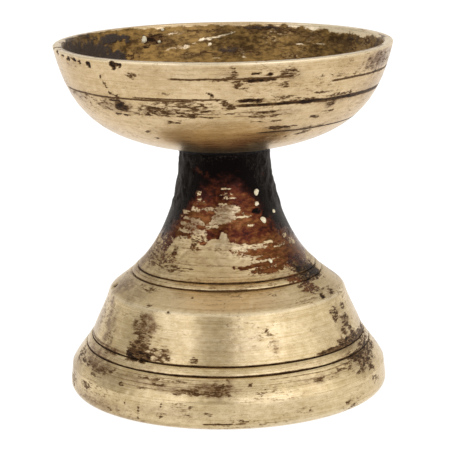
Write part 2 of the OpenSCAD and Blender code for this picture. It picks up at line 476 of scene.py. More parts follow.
def aged_brass(name, brass, deep_brass, soot_colour, lines):
    """Turned brass under its patina, with stains, a brown film that is partly painted shade, resin,
    soot, crust, and bare places that on the foot include painted highlights, from the fields.
    """
    s = Shader(name)
    fine = s.noise(0.05, 5.5, 3.0, 0.6)
    rings = s.noise(0.014, 2.2, 4.0, 0.7, 7.0)
    mottle = s.noise(0.55, 0.8, 4.0, 0.65, 71.0)
    patch = s.noise(0.07, 0.11, 4.0, 0.6, 83.0)
    speck = s.noise(3.1, 3.3, 2.0, 0.6, 44.0)
    streak = s.ramp(s.noise(0.46, 1.6, 5.0, 0.64, 31.0), 0.44, 0.56)
    grain = s.ramp(s.noise(1.7, 2.1, 4.0, 0.7, 57.0), 0.36, 0.64)
    thread = s.ramp(s.noise(0.80, 2.9, 3.0, 0.6, 29.0), 0.44, 0.56)
    blotch = s.ramp(s.noise(0.40, 0.50, 4.0, 0.6, 21.0), 0.38, 0.62)
    smear = s.ramp(s.noise(0.55, 1.0, 5.0, 0.6, 91.0), 0.38, 0.62)
    s.line_wobble = s.noise(0.09, 0.0, 1.0, 0.5, 12.0)
    breakup = s.blend(0.5, streak, grain)

    # clean brass: turning lines, slow patches, and pale and dark flecks
    tone = s.blend(0.5, s.blend(0.5, fine, rings), s.blend(0.5, mottle, patch))
    colour = s.mix(s.ramp(tone, 0.40, 0.60), deep_brass, brass)
    # paler where the bare field is: real bare metal, and on the foot also painted highlights on the cone
    # and the shoulder's edge
    colour = s.mix(s.math("MULTIPLY", s.field("bare"), 0.8), colour, BRASS_PALE)
    pale = s.ramp(s.noise(2.4, 3.4, 2.0, 0.6, 65.0), 0.60, 0.74, 0.0, 0.45)
    colour = s.mix(pale, colour, BRASS_PALE)
    dirty_line = s.math("MULTIPLY", s.ramp(rings, 0.51, 0.62), s.field("scored"))
    dirty_line = s.math("MULTIPLY", dirty_line, s.blend(breakup, 0.3, 1.0))
    colour = s.mix(dirty_line, colour, HAZE_BROWN)
    fleck = s.math("MULTIPLY", s.ramp(speck, 0.63, 0.73), s.ramp(patch, 0.42, 0.62, 0.12, 0.65))
    colour = s.mix(fleck, colour, HAZE_BROWN)
    roughness = s.blend(s.field("scored"), s.ramp(fine, 0.35, 0.65, 0.16, 0.27), 0.42)

    # grime and painted shade: a thin brown film, stronger in its streaks. It is partly real grime and
    # partly painted shade on the flare's sides, under the grooves, low down and on the bowl's lower side
    film_and_shade = s.math("MULTIPLY", s.field("grime_and_shade"), s.blend(breakup, 0.6, 1.3))
    colour = s.mix(film_and_shade, colour, GRIME_AND_SHADE)

    # tarnish: golden brown that lets the turning show, and a dark olive where it is thick
    tarnish = s.broken("tarnish", breakup, 0.4)
    deep = s.blend(0.56, s.blend(0.30, s.blend(0.5, blotch, smear), streak), s.field("deep"))
    tarnish_colour = s.mix(s.ramp(deep, 0.26, 0.80), GOLDEN_BROWN, DARK_OLIVE)
    tarnished = s.ramp(tarnish, 0.20, 0.60)
    colour = s.mix(tarnished, colour, tarnish_colour)

    # stains: a thin brown haze round a dark, ragged core
    dashes = s.blend(0.20, s.blend(0.35, streak, thread), grain)
    stain = s.broken("stain", dashes, 0.9)
    for line_mark in lines:
        stain = s.math("MAXIMUM", stain, scored_line(s, line_mark, breakup))
    haze = s.ramp(stain, 0.30, 0.60)
    core = s.ramp(stain, 0.55, 0.80)
    colour = s.mix(s.math("MULTIPLY", haze, 0.72), colour, HAZE_BROWN)
    colour = s.mix(core, colour, s.mix(s.ramp(stain, 0.85, 1.25), STAIN_BROWN, STAIN_BLACK))

    # resin: glossy red-brown, amber where it is thin
    edge = s.blend(0.45, s.blend(0.4, smear, streak), grain)
    resin = s.broken("resin", edge, 0.8)
    varnished = s.ramp(resin, 0.30, 0.60)
    pool = s.ramp(s.noise(0.60, 0.90, 5.0, 0.68, 47.0), 0.38, 0.62)
    thick = s.math("MULTIPLY_ADD", pool, 0.62, s.field("soot"))
    thick = s.math("ADD", thick, s.math("MULTIPLY", s.field("deep"), 0.75))
    clouds = s.ramp(s.noise(0.50, 1.30, 4.0, 0.65, 61.0), 0.42, 0.58)
    resin_colour = s.mix(clouds, RESIN_AMBER, RESIN_UMBER)
    resin_colour = s.mix(s.ramp(thick, 0.22, 0.84), resin_colour, RESIN_RED)
    resin_colour = s.mix(s.ramp(thick, 0.75, 1.30), resin_colour, RESIN_DARK)
    colour = s.mix(varnished, colour, resin_colour)

    # soot fades in gradually, and crust lies on it
    soot = s.broken("soot", s.blend(0.4, smear, grain), 0.36)
    sooty = s.ramp(soot, 0.25, 0.85)
    colour = s.mix(sooty, colour, soot_colour)
    crust = s.broken("crust", grain, 0.5)
    crusted = s.ramp(crust, 0.40, 0.60)
    colour = s.mix(crusted, colour, s.mix(s.ramp(speck, 0.54, 0.70), SOOT, CRUST_SHINE))

    roughness = s.blend(tarnished, roughness, 0.36)
    roughness = s.blend(haze, roughness, 0.42)
    roughness = s.blend(core, roughness, 0.55)
    roughness = s.blend(varnished, roughness, 0.24)
    roughness = s.blend(sooty, roughness, 0.45)
    roughness = s.blend(crusted, roughness, 0.55)

    normal = s.bump(s.blend(0.5, fine, rings), 0.03)
    sunk = s.math("SUBTRACT", s.math("MULTIPLY", varnished, 0.6), core)
    normal = s.bump(sunk, 0.05, normal)
    normal = s.bump(s.math("MULTIPLY", speck, s.math("MAXIMUM", crusted, sooty)), 0.25, normal)
    return s.finish(
        Base_Color=colour, Metallic=1.0, Specular_Tint=EDGE_TINT, Roughness=roughness, Normal=normal
    )


def plain_aged(name, light, dark, metallic, low_rough, high_rough, bump):
    """A small piece's finish: one colour mottled with a darker one."""
    s = Shader(name)
    grain = s.noise(1.6, 1.6, 4.0, 0.6, 5.0)
    fleck = s.noise(5.0, 5.0, 2.0, 0.6, 19.0)
    colour = s.mix(s.ramp(grain, 0.35, 0.62), dark, light)
    roughness = s.ramp(grain, 0.3, 0.7, high_rough, low_rough)
    height = s.math("ADD", grain, s.math("MULTIPLY", fleck, 0.4))
    return s.finish(
        Base_Color=colour, Metallic=metallic, Roughness=roughness, Normal=s.bump(height, bump)
    )


def wax_material():
    """Old white wax, a little translucent."""
    s = Shader("old_wax")
    grain = s.noise(1.2, 1.2, 3.0, 0.6, 3.0)
    colour = s.mix(s.ramp(grain, 0.35, 0.7), (0.62, 0.53, 0.34), (0.80, 0.73, 0.52))
    s.bsdf.inputs["Subsurface Weight"].default_value = 0.15
    s.bsdf.inputs["Subsurface Radius"].default_value = (0.002, 0.0012, 0.0008)
    return s.finish(Base_Color=colour, Roughness=0.45, Normal=s.bump(grain, 0.05))


# ---------------------------------------------------------------- the marks of wear
def scratch(start, end, count, width, tall, strength):
    """Marks strung evenly between two places, each an angle and a height."""
    return [(*place, width, tall, strength) for place in np.linspace(start, end, count).tolist()]


# Nicks along the rim that hold dirt, and other sharp-edged scars on the bowl's outside.
BOWL_NICKS = [
    (-79, 93.9, 2.4, 1.1, 1.3), (-72, 93.6, 2.2, 1.1, 1.3), (-66, 93.3, 2.2, 1, 1.3),
    (-61, 93, 2, 1.1, 1.3), (-57, 92.9, 1.8, 1, 1.3), (-54, 92.4, 1.4, 1.2, 1.3),
    (-49, 92.3, 1.6, 2.2, 1.3), (-37.6, 92.7, 1.9, 2.4, 1.35), (-35.2, 93.2, 2.6, 1.6, 1.35),
    (-86, 93.9, 1.8, 0.9, 1.1),
]
BOWL_SCARS = [
    (11.5, 89.75, 10.5, 1, 1.4), (8.5, 84.5, 7.5, 1.1, 1.4), (66, 88, 11, 0.9, 1.2),
    (28, 83.2, 16, 1.2, 1.25), (52, 83, 16, 1, 1.2), (10.3, 91.15, 3.4, 0.6, 1.2),
    (15, 91.05, 3, 0.6, 1.2), (-38.8, 82.2, 5.2, 3.4, 1.15), (-41.5, 83.6, 5, 0.7, 1.1),
    *scratch((-5.6, 86.9), (-2.4, 84.7), 10, 0.6, 0.5, 1),
    *scratch((-44.5, 89.9), (-41.8, 85.4), 8, 0.7, 0.5, 1.1),
]
# Stains on the bowl's outside. The strength is 1 where they are solid, and about 0.5 in streaks.
BOWL_STAINS = [
    # specks below the rim, left front
    (-44, 90.2, 4.5, 0.5, 0.62), (-31, 90.6, 4.4, 1.8, 0.55), (-31, 90.1, 2.6, 0.8, 0.85),
    (-32, 88.3, 1.6, 0.5, 0.6), (-41, 85.2, 2.6, 0.6, 0.75), (-39, 84.9, 1.6, 0.8, 0.95),
    # the belt of streaks across the front
    (-68, 83.2, 9, 1.6, 0.44), (-55, 83, 9, 2.4, 0.42), (-56, 81.8, 1, 1, 0.9),
    (-47, 82.5, 8, 3.4, 0.46), (-26, 82.5, 11, 1.2, 0.74), (-24, 81.5, 14, 1, 0.76),
    (-11, 82.9, 12, 1.1, 0.72), (-18, 82.3, 26, 3.4, 0.37), (-10, 81.9, 10, 1, 0.74),
    (-40, 79.9, 6, 0.8, 0.88), (-18, 80.8, 20, 0.9, 0.78), (-30, 80.4, 7, 0.8, 0.76),
    (-10, 80.1, 11, 0.8, 0.8), (-19, 78.6, 6, 1, 0.66), (-13, 83.8, 20, 0.6, 0.6),
    (-8, 80.3, 4, 0.5, 0.8), (1, 83.2, 4, 2.6, 0.85), (4, 81, 6, 0.8, 0.62),
    # single spots and scratches
    (-33, 75.1, 1.6, 0.8, 0.8), (-31, 73.4, 1.8, 0.6, 0.7), (0, 73.9, 0.9, 0.5, 0.8),
    (-19, 86.1, 4.2, 0.6, 0.8), (-4, 85.8, 1.2, 2.6, 0.7), (-8, 85, 5, 0.6, 0.7),
    (3, 91.5, 2.2, 3.8, 0.74), (4, 88.9, 2.4, 3.2, 0.72), (7, 88.4, 6, 2.2, 0.56),
    (10, 92.9, 1.2, 0.4, 0.8), (5, 91.1, 1.2, 0.5, 0.8), (22, 91.2, 4.8, 2.8, 0.7),
    (20, 88.3, 2.4, 2.4, 0.66), (-2, 90, 10, 1, 0.62), (47, 88.9, 12, 0.8, 0.5),
    (36, 89.5, 12, 0.7, 0.5),
    # brown patch at the right end of the rim
    (63, 92.4, 14, 1.4, 0.62), (64, 91, 14, 1.2, 0.58), (58, 89.8, 12, 1, 0.58),
    (72, 90.2, 9, 1.4, 0.52),
    # round the right-hand line
    (12, 84.2, 2.4, 0.9, 0.9), (20, 85, 7, 1, 0.66), (35, 85.1, 7.5, 0.9, 0.62),
    (42, 82.1, 4.8, 1.6, 0.74), (45, 83.9, 14, 1.2, 0.6), (26, 84, 12, 1, 0.6), (14, 81.2, 9, 0.9, 0.8),
    (15, 80.1, 10, 0.7, 0.78), (12, 78.6, 3.8, 0.5, 0.95), (20, 78.6, 5, 0.5, 0.62),
    (36, 78.6, 5, 0.9, 0.74), (41, 79.8, 6, 0.9, 0.66),
    # round the lowest line
    (22, 76.5, 10, 1.2, 0.94), (36, 74.2, 7, 1.3, 0.72), (28, 73.2, 1.2, 0.5, 0.7),
    (38, 75.5, 9, 0.8, 0.8),
]
# A thin brown film on the bowl's outside, and on the foot's below. It is partly real grime and partly
# painted shade, on the flare's and skirt's sides, under the grooves, low down and on the bowl's lower
# side.
BOWL_GRIME_AND_SHADE = [
    (-64, 83, 20, 3, 0.7), (-43, 82.2, 12, 4, 0.75), (-20, 82, 30, 4, 0.35), (65, 91.2, 22, 6.5, 1.7),
    (76, 89.6, 12, 7, 0.6), (10, 89.4, 26, 3, 0.2), (66, 84, 26, 9, 0.45), (-80, 84, 16, 10, 0.45),
    (-38, 82.2, 8, 5, 1), (44, 82.6, 26, 2.6, 0.6), (18, 80.8, 22, 3.4, 0.45), (30, 75.6, 26, 2.8, 0.6),
    (42, 82, 6, 2.6, 1), (22, 90.6, 7, 5, 0.55), (2, 91, 6, 5, 0.5), (0, 92.6, 40, 1, 0.35),
    (-60, 91.8, 20, 2, 0.3), (-76, 90, 10, 6, 0.25), (2, 86, 14, 8, 0.15),
]
FOOT_GRIME_AND_SHADE = [
    (-6, 50, 20, 9, 0.85), (-36, 48, 14, 9, 0.95), (0, 44, 24, 6, 0.45), (-20, 40, 26, 8, 0.35),
    (30, 40, 20, 8, 0.45), *scratch((-71, 25.6), (-65, 18.5), 4, 4, 4, 1),
    *scratch((-64, 18), (-54, 15.2), 3, 4, 3, 0.95), (-66, 39, 14, 14, 0.75), (-82, 37, 12, 18, 0.95),
    (-46, 36, 14, 6, 0.5), (62, 40, 16, 10, 0.6), (82, 38, 14, 16, 0.35), (40, 33.6, 14, 3, 0.5),
    (-56, 33, 20, 4, 0.5), (-76, 29.8, 20, 6, 0.85), (-56, 29.4, 16, 4, 0.55), (56, 30.4, 10, 4, 0.05),
    (-80, 20, 12, 14, 0.6), (-64, 20, 6, 12, 0.8), (-40, 23.4, 8.5, 7.5, 1.35),
    (-39, 17.8, 11, 6.4, 1.1), (-28, 17.2, 8, 4.6, 0.75), (62, 20, 11, 12, 0.4), (80, 19, 12, 12, 0.2),
    (20, 19.4, 3.4, 6, 0.45), (0, 21, 26, 16, 0.34), (-66, 13.6, 24, 5, 0.9), (-62, 11.2, 24, 3.4, 1.4),
    (-34, 13.8, 18, 3.6, 0.35), (60, 14.8, 24, 4, 0.6), (64, 11.6, 18, 7, 0.65),
    (32, 14.2, 20, 2.6, 0.3), (36, 10.6, 20, 2.4, 0.6), (-5, 10.4, 14, 4.4, 1.15),
    (-18, 9.9, 18, 2.4, 0.95), (-34, 10.8, 26, 3, 0.6), (-50, 9.6, 18, 4, 0.4), (-78, 8, 16, 8, 0.5),
    (8, 10.6, 14, 3, 0.25), (-56, 2.6, 34, 4.4, 0.75), (-20, 4.4, 40, 5, 0.32), (-36, 1.2, 40, 2, 0.4),
    (26, 3.6, 9, 3.4, 0.25), (48, 2.4, 12, 3, 0.12), (68, 5, 10, 6, 0.12), (0, 2.6, 16, 2.6, 0.25),
]
# Dark scored lines on the bowl: middle angle, height, half spread in degrees, width, strength.
BOWL_LINES = [
    (2, 90.1, 22, 0.6, 0.95), (60, 88, 24, 0.7, 0.95), (-42, 84.3, 36, 0.65, 0.95),
    (-16, 84.8, 18, 0.6, 0.85), (40, 83.1, 40, 0.95, 1.2), (56, 83, 26, 1.3, 1.05),
    (44, 75.2, 34, 0.75, 1.1), (-24, 81.8, 14, 0.4, 0.56), (-20, 80.9, 19, 0.4, 0.56),
    (-11, 80.1, 11, 0.4, 0.7), (-12, 82.9, 14, 0.4, 0.5), (14, 81.3, 12, 0.4, 0.56),
    (14, 80.2, 12, 0.4, 0.56), (-4, 86.6, 30, 0.3, 0.42), (14, 84.9, 30, 0.3, 0.44),
    (0, 92.4, 60, 0.3, 0.4), (-14, 91.4, 30, 0.25, 0.4), (10, 70.2, 60, 0.3, 0.4),
    (100, 85.5, 30, 0.4, 0.6), (150, 82.6, 40, 0.5, 0.7), (-140, 83.8, 30, 0.5, 0.7),
    (-120, 89.2, 26, 0.35, 0.6), (170, 89.8, 30, 0.35, 0.6), (-170, 76, 30, 0.35, 0.6),
]

# Stains inside the bowl, which is tarnished all over.
BOWL_INSIDE_STAINS = [
    (-152, 90.4, 8.5, 3.4, 1.15), (-139, 86.6, 12, 2, 0.6), (177, 86.4, 9, 2.6, 0.8),
    (-148, 88.8, 4, 1.6, 0.85), (168, 85.6, 6, 2.2, 0.7), (166, 92.4, 14, 1.8, 0.85),
    (154, 91.9, 9, 1.6, 0.75), (142, 91, 10, 1.6, 0.6), (125, 89.4, 14, 3, 0.5),
    (112, 91.2, 8, 2.6, 0.65), (150, 85.2, 14, 1.4, 0.6), (-170, 85.6, 16, 1.6, 0.6),
    (-174, 92, 16, 1.4, 0.5), (60, 84, 24, 7, 0.5), (0, 82, 30, 9, 0.4), (-60, 78, 22, 6, 0.5),
    (40, 73, 20, 5, 0.5),
]
# Where its tarnish is thick and dark, and where smoke has blackened it.
BOWL_INSIDE_DEEP = [
    (-112, 89, 34, 16, 0.45), (-140, 90, 12, 6, 0.4), (-168, 85.4, 14, 2.6, 0.4),
    (-160, 90, 30, 9, 0.34), (178, 89, 24, 9, 0.26), (173, 86.6, 20, 4.4, 0.58),
    (160, 92.2, 30, 2.8, 0.65), (126, 90.8, 20, 2.8, 0.3), (98, 90, 16, 10, 0.25), (0, 71, 26, 6, 0.35),
    (60, 84, 30, 14, 0.2),
]
BOWL_INSIDE_SMOKE = [
    (-98, 88, 34, 13, 1.05), (-118, 88.6, 22, 10.5, 0.84), (-133, 91.8, 14, 2.8, 0.94),
    (-126, 89.4, 11, 2.8, 0.8), (-131, 87, 12, 3, 0.88), (-140, 90.6, 4, 1.6, 0.62),
    (97, 91, 11, 5, 0.52), (84, 89, 14, 7, 0.5), (-70, 84, 24, 12, 0.6), (166, 92.9, 16, 1.5, 0.62),
    (178, 86.6, 9, 2.4, 0.6), (118, 91.4, 12, 2.2, 0.5),
]

# Bare metal inside: a worn band under the back right of the rim, and scratches.
BOWL_INSIDE_BARE = [
    (142, 93.8, 20, 1.7, 1.1), (128, 93.6, 20, 2.2, 1.1), (115, 93.6, 16, 1.8, 1.1),
    (104, 93.7, 12, 1, 1), (-172, 89.6, 2.4, 0.9, 0.9), (-175, 88.4, 1, 0.8, 0.9),
    (-164, 87.4, 4, 0.6, 0.6), (-161, 91.6, 5, 1.4, 0.5), (147, 88.6, 4, 0.6, 0.7),
    (138, 89.2, 3, 0.6, 0.6), (171, 84.6, 1.4, 1.4, 0.6), (-178, 84.4, 3, 0.8, 0.45),
    *scratch((187, 89.4), (176, 91.4), 12, 2, 0.75, 0.66),
    *scratch((203, 87.3), (188, 89.2), 14, 2, 0.6, 0.42),
]

# Solid stains on the foot's outside: the skirt's left patch, brown above and black below, and the
# right-hand blot over the lower grooves.
FOOT_SCARS = [
    (-42, 23.8, 7, 3.4, 0.56), (-40.5, 21.4, 7.6, 3.4, 0.64), (-39.6, 18.6, 9, 3, 0.8),
    (-39.6, 16.4, 10.6, 3.4, 1.1), *scratch((-78, 9.9), (-51, 10.8), 6, 5, 1.7, 0.62),
    (60, 12.4, 9, 3, 0.86), (64, 10.4, 9, 2.4, 0.84), (57, 9, 5, 1.6, 0.8), (72, 13.4, 10, 3.2, 0.86),
    (-4, 10.4, 6, 2.2, 0.76), (-10, 9.4, 11, 1.2, 0.74),
]
# Streaky stains on the foot's outside, from the flare down.
FOOT_STAINS = [
    # left of the flare
    (-61, 41, 5, 3.6, 0.66), (-45, 39.8, 3, 2.6, 0.85), (-60, 37.5, 12, 4, 0.56),
    (-40, 36.2, 11, 2, 0.54), (-34, 36.7, 9, 0.5, 0.75), (-75, 45, 6, 8, 0.7), (-76, 39, 8, 6, 0.6),
    (-30, 43, 3, 2, 0.62),
    # purple-black blot on the right, running down over the upper grooves
    (60, 35.2, 9, 5.4, 1.05), (68, 33.6, 10, 4.4, 1.15), (52, 36.4, 4, 3.4, 0.74),
    (56, 32.4, 7, 2.8, 0.95), (50, 30.9, 6, 3, 0.62), (56, 29.6, 5, 2.4, 0.6), (54, 28.2, 2.2, 0.9, 1),
    (64, 28.4, 3.2, 1.2, 0.85), (62, 29.4, 6, 0.8, 0.62),
    # cone and shoulder
    (-41, 28, 1.9, 0.5, 1.2), (-29, 27.6, 0.9, 0.6, 1.3), (-19, 31, 0.7, 0.4, 1.2),
    (25, 30.8, 3.4, 1.2, 0.52), (-84, 28.6, 2, 1, 1.2), (-50, 31.2, 8, 1.6, 0.5),
    # left patch on the skirt, brown above and black below
    (-43, 25.4, 2.6, 1.4, 0.6), (-29, 17.8, 5.5, 3.4, 0.6), (-27, 16.4, 6, 2, 0.62),
    (-14, 16.4, 3, 2, 0.6), (-62, 18, 4, 5, 0.42), (-56, 15, 7, 1.6, 0.75),
    # dots and marks on the skirt
    (17, 23.4, 0.5, 0.5, 0.7), (0, 25.2, 0.7, 0.7, 0.8), (39, 21.8, 0.8, 0.8, 0.7),
    (20, 19.4, 2, 3.4, 0.28), (20, 17, 0.8, 0.5, 0.5), (68, 24.6, 3, 1.8, 0.76),
    (58, 23.6, 4, 3.6, 0.74), (57, 22.2, 2.4, 1.4, 0.85), (65, 21, 5, 3.8, 0.78),
    (60, 18.8, 3.6, 2.8, 0.74), (67, 17.8, 5, 3.4, 0.78), (55, 17.2, 5, 1.4, 0.58),
    # dark swaths along the lower grooves, right
    (46, 15.7, 12, 1.1, 0.95), (62, 16.2, 14, 2.2, 1), (78, 15.8, 14, 3.4, 0.84),
    (62, 13.2, 14, 1.1, 0.86), (74, 12.4, 14, 4.6, 0.76), (65, 10.8, 8, 3.4, 0.84),
    (60, 9.6, 5, 1.6, 0.86), (66, 8.6, 5, 1.8, 0.74), (36, 10.4, 9, 1, 0.62), (48, 11.2, 9, 1, 0.6),
    (52, 11.8, 5, 1.6, 0.62),
    # the round above the band
    (-3, 11.3, 5, 1.8, 0.66), (-4, 9.6, 8, 1.7, 0.78), (-13, 10, 11, 1.6, 0.58),
    (-18, 9.5, 9, 0.8, 0.64), (-26, 10.4, 16, 0.5, 0.7), (-24, 11.7, 12, 0.8, 0.62),
    (-34, 11.9, 6, 0.7, 0.6), (-42, 9.2, 2.6, 0.9, 0.9), (-33, 9.4, 2.2, 0.8, 0.56),
    (-52, 10.8, 7, 1.8, 0.7), (-58, 9, 5, 1, 0.72), (-80, 11, 8, 2.4, 0.62), (5, 11.4, 0.8, 0.4, 1),
    (8, 11.2, 1.2, 0.4, 0.9), (11, 9.3, 3, 0.5, 0.7),
    # the band and the heel
    (-24, 6, 1, 0.9, 0.8), (-13, 6.4, 1.4, 1, 0.66), (-39, 5.2, 0.9, 1.6, 0.8),
    (-24, 3.5, 3.4, 1.2, 0.66), (-7, 4.5, 2.8, 1, 0.78), (-15, 3.9, 3, 0.6, 0.6),
    (-45, 2.2, 4, 0.8, 0.75), (-36, 2.3, 1.4, 0.5, 0.8), (-33, 3.2, 0.4, 4.4, 0.56),
    (-5, 1.8, 4.6, 0.5, 1.1), (4, 2.6, 8, 1.8, 0.42), (27, 3.6, 6, 2.2, 0.4), (46, 3.4, 2.4, 1.2, 0.7),
    (49, 1.6, 4, 0.9, 0.8), (66, 5.4, 5, 3.4, 0.5), (-62, 6, 8, 3, 0.46), (-78, 4, 8, 4, 0.55),
]
# Patches of red-brown resin below the height where it starts all round, and bare places in it.
FOOT_RESIN = [
    (-10, 45.2, 7.5, 2.6, 1.05), (-22, 43.3, 3, 1.8, 0.95), (10, 44.6, 7, 2.6, 0.85),
    (20, 37.4, 12, 1, 0.95), (30, 36.2, 14, 1.6, 0.8), (46, 33, 5, 2.6, 0.7), (52, 30.6, 6, 3.4, 0.62),
    (-62, 42, 6, 5, 0.62), (-28, 41.6, 4, 1.4, 0.6), (16, 41, 9, 3, 0.55), (-50, 38.4, 8, 4, 0.4),
]
FOOT_BARE = [
    (3, 50.4, 6.4, 4.2, 0.9), (-6, 48.6, 6, 2.8, 0.8), (-13, 47.4, 4, 2, 0.7), (9, 51.4, 3.6, 2.4, 1),
    (-2, 52.4, 3, 0.9, 0.7), (18, 49.4, 4, 0.8, 0.8), (-46, 50.4, 4.4, 1.1, 0.72),
    (-42, 48.8, 5.4, 1.2, 0.74), (-46, 47.4, 3.6, 0.9, 0.68), (-38, 46.8, 5, 1, 0.7),
    (-42, 45.6, 6, 1.2, 0.72), (-28, 48, 6, 1.6, 0.62), (-26, 45.6, 5, 1.8, 0.85),
    (-33, 51.2, 3, 1.6, 0.66), (-20, 51.6, 4, 1.2, 0.66), (2, 55.2, 3.6, 1, 0.62),
    (1, 56.6, 3.2, 0.6, 0.74), (4, 54.1, 4, 0.6, 0.74), (-32, 55.2, 2, 1.8, 0.56),
    (-28, 53.4, 2.6, 1.4, 0.5), (-2, 44.6, 2.4, 2.2, 0.9), (-5, 42.9, 6, 1.3, 0.9),
    (-20, 43.6, 3, 0.8, 0.62), (24, 47.2, 2.6, 0.6, 0.8), (12, 42, 6, 1.6, 0.75),
    (26, 41.8, 7, 1.2, 0.75), (40, 42.6, 5, 1, 0.7), (50, 41.2, 5, 1, 0.6), (70, 41, 4, 2.4, 0.6),
    (28, 38.3, 9, 0.6, 0.75), (20, 39.4, 6, 1.2, 0.75), (56, 36.2, 2.4, 1.4, 0.6),
    (62, 43, 3, 1.2, 0.6),
]
# Patches of soot below the height where the neck's soot sets in.
FOOT_SOOT = [
    (61, 35.6, 8, 4.6, 0.5), (67, 33.6, 7, 4, 0.56), (54, 36.8, 5, 3.4, 0.4), (57, 32.6, 6, 2.4, 0.5),
    (33, 50.4, 3, 1.7, 0.85), (44, 49.6, 4, 3, 0.7), (24, 60, 6, 3, 0.9), (30, 57, 3, 4, 0.72),
]
# Where the resin is thickest and darkest.
FOOT_DEEP = [
    (-9, 45, 10, 3.4, 0.9), (14, 45.2, 14, 4.8, 0.9), (38, 45.6, 14, 4.8, 0.8), (-24, 44, 8, 3, 0.7),
    (-16, 54.6, 14, 8, 0.8), (8, 57, 18, 7, 0.95), (16, 52.8, 11, 6, 0.75), (-30, 56, 12, 9, 0.7),
    (34, 50.4, 9, 5, 0.6), (-40, 43.6, 12, 4, 0.6), (-58, 41, 10, 6, 0.6), (20, 37.2, 9, 1.6, 0.5),
    (50, 37.6, 12, 5, 0.3),
]
# Thin amber spots in the neck's crust.
FOOT_AMBER = [(-36, 61, 4.4, 3.2, 1), (52, 59.8, 4.4, 3, 0.8), (-24, 60.4, 4, 2.6, 0.6)]
# How high the resin starts and the neck's soot sets in, as (angle, height) round the foot.
RESIN_STARTS = [
    (-180, 43), (-110, 40), (-75, 42), (-40, 43.5), (-12, 43.6), (6, 42.6), (16, 39.5), (24, 36.6),
    (60, 34.6), (90, 36), (130, 41), (180, 43),
]
SOOT_STARTS = [
    (-180, 50), (-100, 46), (-70, 47.5), (-54, 51), (-42, 56), (-30, 60), (0, 61.4), (18, 61.6),
    (30, 58.6), (42, 53.6), (60, 48), (90, 46), (130, 49), (180, 50),
]
# Scored lines on the foot, as on the bowl. Those that run all the way round fill the grooves.
FOOT_LINES = [
    (0, 33.9, 180, 0.8, 1.1), (0, 32.3, 180, 0.72, 1), (-30, 33.2, 60, 0.3, 0.6),
    (0, 15.2, 180, 0.95, 1.15), (0, 13, 180, 0.95, 1.15), (-30, 10.5, 36, 0.45, 0.62),
    (30, 9.9, 60, 0.3, 0.48), (0, 7.5, 180, 0.35, 0.45), (-4, 1.9, 5, 0.5, 1),
    (-34, 11.4, 42, 0.5, 0.58), (-24, 9.6, 22, 0.5, 0.62), (40, 10.9, 30, 0.5, 0.55),
    (0, 14.3, 180, 0.35, 0.45), (-40, 12.2, 50, 0.4, 0.55), (50, 12, 40, 0.4, 0.6),
    (-60, 15.9, 30, 0.8, 0.7), (62, 15.8, 26, 1, 0.85), (0, 0.9, 60, 0.4, 0.45),
    (-20, 36.4, 40, 0.3, 0.5), (0, 37.8, 180, 0.3, 0.45), (10, 39.6, 60, 0.3, 0.42),
    (0, 35.2, 180, 0.35, 0.5), (0, 31.4, 70, 0.25, 0.4),
]
# Two small dents in the cone, as marks.
FOOT_DENTS = [(-84, 28.6, 2.4, 1.6, 1), (-29, 27.6, 1, 0.8, 1)]
# Wax drops: angle, height, width and thickness.
NECK_WAX = [
    (38, 55.4, 1.5, 0.55), (36, 52.4, 1.15, 0.45), (59, 49.5, 1, 0.35), (40, 47.9, 1.6, 0.5),
    (34, 38.1, 1.1, 0.35),
]
BOWL_WAX = [
    (-147.5, 90.5, 1.8, 0.6), (-154, 89.7, 0.9, 0.4), (-156, 93, 0.9, 0.3),
]


# ---------------------------------------------------------------- the pieces
def height_to_along(turning, marks):
    """The same lines, with their heights turned into lengths along the outside of the outline."""
    rows, columns = turning.shape
    outside = turning.side.reshape(rows, columns)[:, 0] == "outside"
    heights, along = turning.rows[outside, 1], turning.along.reshape(rows, columns)[outside, 0]
    order = np.argsort(heights, kind="stable")
    return [(a, float(np.interp(z, heights[order], along[order])), *rest) for a, z, *rest in marks]


def hand_wear(turning, seed):
    """What any old turning has: faint rings, a slight wander of the surface, and pits."""
    rings = lumps(turning.turned * [0, 0, 1], 1.3, seed, 2) - 0.5
    wander = lumps(turning.points, 14.0, seed + 1, 2) - 0.5
    pits = smooth_step(0.80, 0.92, lumps(turning.points, 1.3, seed + 2))
    return rings * 0.05 + wander * 0.12 - pits * 0.10


def streaks(turning, size, seed, stretch, low, high, octaves=3):
    """Patches of noise on the turned surface, from 0 to 1, with these scales round and along it."""
    round_scale, along_scale = stretch
    scaled = turning.turned * [round_scale, round_scale, along_scale]
    return smooth_step(low, high, lumps(scaled, size, seed, octaves))


def start_heights(turning, starts):
    """The height at which something starts, at each point's angle."""
    angles, heights = zip(*starts)
    return np.interp(turning.angle, angles, heights)


